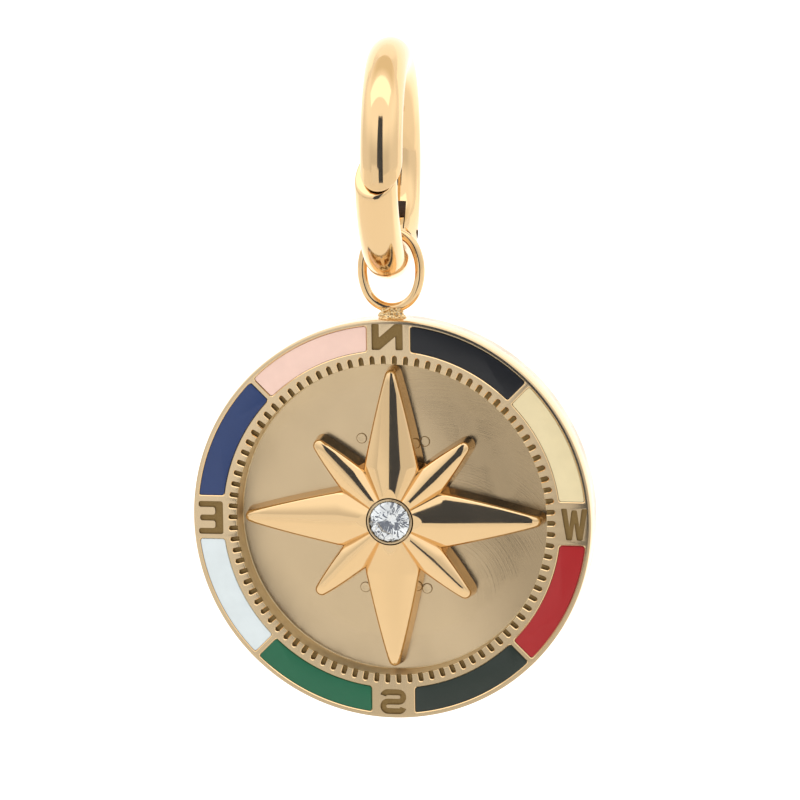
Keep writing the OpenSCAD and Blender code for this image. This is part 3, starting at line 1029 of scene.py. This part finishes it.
def camera():
    back = direction(view["azimuth"], view["elevation"])
    right = Vector((cos(radians(view["azimuth"])), sin(radians(view["azimuth"])), 0))
    up = back.cross(right)
    roll = radians(view["roll"])
    right, up = right * cos(roll) + up * sin(roll), up * cos(roll) - right * sin(roll)
    target = dialCentre + Vector((0, -dial["half"], 0))
    spot = (target + back * view["distance"]) * metres
    lens = bpy.data.cameras.new("camera")
    lens.sensor_width = view["sensor"]
    width = view["imageWidth"]
    lens.lens = view["scale"] * view["distance"] * view["sensor"] / width
    lens.shift_x = (width / 2 - view["targetPixel"][0]) / width
    lens.shift_y = (view["targetPixel"][1] - width / 2) / width
    lens.clip_start = 0.01
    lens.clip_end = 10
    eye = bpy.data.objects.new("camera", lens)
    eye.matrix_world = Matrix(((*right, 0), (*up, 0), (*back, 0), (*spot, 1))).transposed()
    scene.collection.objects.link(eye)
    scene.camera = eye


def stage():
    # pale sweep: floor under the charm, curved up behind it, with a painted glow that grows towards the
    # back
    white, tree, where = newMaterial("paleStudioPaperPaintedGlow", Roughness=0.9, Base_Color=linear("#f0efed"),
                                     Emission_Color=(1, 1, 1, 1))
    parts = addNode(tree, "SeparateXYZ", {"Vector": where}).outputs
    near = addNode(tree, "MapRange", {"Value": parts["Y"], "From Min": -0.17, "From Max": -0.1,
                                      "To Min": 0.0, "To Max": 0.06}, interpolation_type="SMOOTHSTEP")
    behind = addNode(tree, "MapRange", {"Value": parts["Y"], "From Min": 0.04, "From Max": 0.14,
                                        "To Min": 0.0, "To Max": 0.36}, interpolation_type="SMOOTHSTEP")
    both = addNode(tree, "Math", {0: near, 1: behind}, operation="ADD")
    aside = addNode(tree, "Math", {0: parts["X"], 1: 0.05}, operation="ADD")
    away = addNode(tree, "Math", {0: aside}, operation="ABSOLUTE")
    # the painted glow weakens away to the sides
    spot = addNode(tree, "MapRange",
                   {"Value": away, "From Min": 0.2, "From Max": 0.35, "To Min": 1.0, "To Max": 0.6},
                   interpolation_type="SMOOTHSTEP")
    glow = addNode(tree, "Math", {0: both, 1: spot}, operation="MULTIPLY")
    join(glow, tree.nodes["Principled BSDF"].inputs["Emission Strength"])
    front, low, bend, wide, far, high = -500, -90, 120, 900, 400, 700
    profile = [(front, low)] + arc(far - bend, low + bend, bend, -pi / 2, 0, 12) + [(far, high)]
    points = [(x, y, z) for y, z in profile for x in (-wide, wide)]
    faces = [(2 * k, 2 * k + 1, 2 * k + 3, 2 * k + 2) for k in range(len(profile) - 1)]
    sweep = newPiece("paperSweep", points, faces, [white])
    sweep.data.transform(Matrix.Scale(metres, 4))
    shade(sweep, 60)


cards = {   # what the gold mirrors: colour, glow, then azimuths, elevations and distance from the dial
    "cameraCard": ("#454d5e", 0, (-11.2, 19), (0, 48), 300),
    "handCard": ("#454d5e", 0, (-4, 19), (-29, 0), 300),
    "paperCard": ("#ffffff", 0.97, (-44, -4.5), (-22, 3), 300),
    "backCard": ("#ffffff", 1.4, (125, 235), (4, 38), 420),
}

ceiling = {"glow": 1.75, "across": (-580, 400), "depth": (-220, 0), "height": 480}


def hangCard(name, points, faces, hexColour, glow):
    # seen only as a reflection
    colour = linear(hexColour)
    cloth = newMaterial(name + "Cloth", Roughness=1.0, Base_Color=(0, 0, 0, 1) if glow else colour,
                        Specular_IOR_Level=0, Emission_Color=colour, Emission_Strength=glow)[0]
    card = newPiece(name, points, faces, [cloth])
    card.data.transform(Matrix.Scale(metres, 4))
    card.visible_camera = False
    card.visible_shadow = False
    card.visible_diffuse = False


def curvedCard(name, hexColour, glow, azimuths, elevations, reach):
    n = 13      # points along each side
    across, up = [[first + (last - first) * k / (n - 1) for k in range(n)]
                  for first, last in (azimuths, elevations)]
    points = [dialCentre + direction(a, e) * reach for a in across for e in up]
    faces = [(k, k + 1, k + n + 1, k + n) for k in range(n * (n - 1)) if (k + 1) % n]
    hangCard(name, points, faces, hexColour, glow)


def ceilingPanel():
    # the flat lamp that the hoop's crown mirrors
    points = [(x, y, ceiling["height"]) for y in ceiling["depth"] for x in ceiling["across"]]
    hangCard("ceilingPanel", points, [(0, 1, 3, 2)], "#ffffff", ceiling["glow"])


def studioLight():
    # soft white room, a little darker at eye level
    world = bpy.data.worlds.new("whiteRoom")
    world.use_nodes = True
    tree = world.node_tree
    sky = tree.nodes["Background"]
    where = addNode(tree, "TexCoord").outputs["Generated"]
    parts = addNode(tree, "SeparateXYZ", {"Vector": where}).outputs
    rise = addNode(tree, "MapRange",
                   {"Value": parts["Z"], "From Min": 0.1, "From Max": 0.6, "To Min": 0.77, "To Max": 1.2},
                   interpolation_type="SMOOTHSTEP")
    sideways = addNode(tree, "Math", {0: parts["X"]}, operation="ABSOLUTE")
    sides = addNode(tree, "MapRange",
                    {"Value": sideways, "From Min": 0.7, "From Max": 0.95, "To Min": 0.0, "To Max": 0.15},
                    interpolation_type="SMOOTHSTEP")
    level = addNode(tree, "Math", {0: rise, 1: sides}, operation="ADD")
    # warmer behind and above, which gives the browner patch in the hoop's crown
    back = addNode(tree, "MapRange", {"Value": parts["Y"], "From Min": 0.0, "From Max": 0.2})
    high = addNode(tree, "MapRange", {"Value": parts["Z"], "From Min": 0.6, "From Max": 0.85})
    warm = addNode(tree, "Math", {0: back, 1: high}, operation="MULTIPLY")
    tint = addNode(tree, "Mix", {"Factor": warm, "A": level, "B": (0.92, 0.85, 0.71, 1)}, data_type="RGBA")
    join(tint, sky.inputs["Color"])
    sky.inputs["Strength"].default_value = 1.0
    scene.world = world


camera()
stage()
for cardName, card in cards.items():
    curvedCard(cardName, *card)
ceilingPanel()
studioLight()
scene.view_settings.view_transform = "Standard"
scene.view_settings.look = "None"
print("stage, light and camera set")
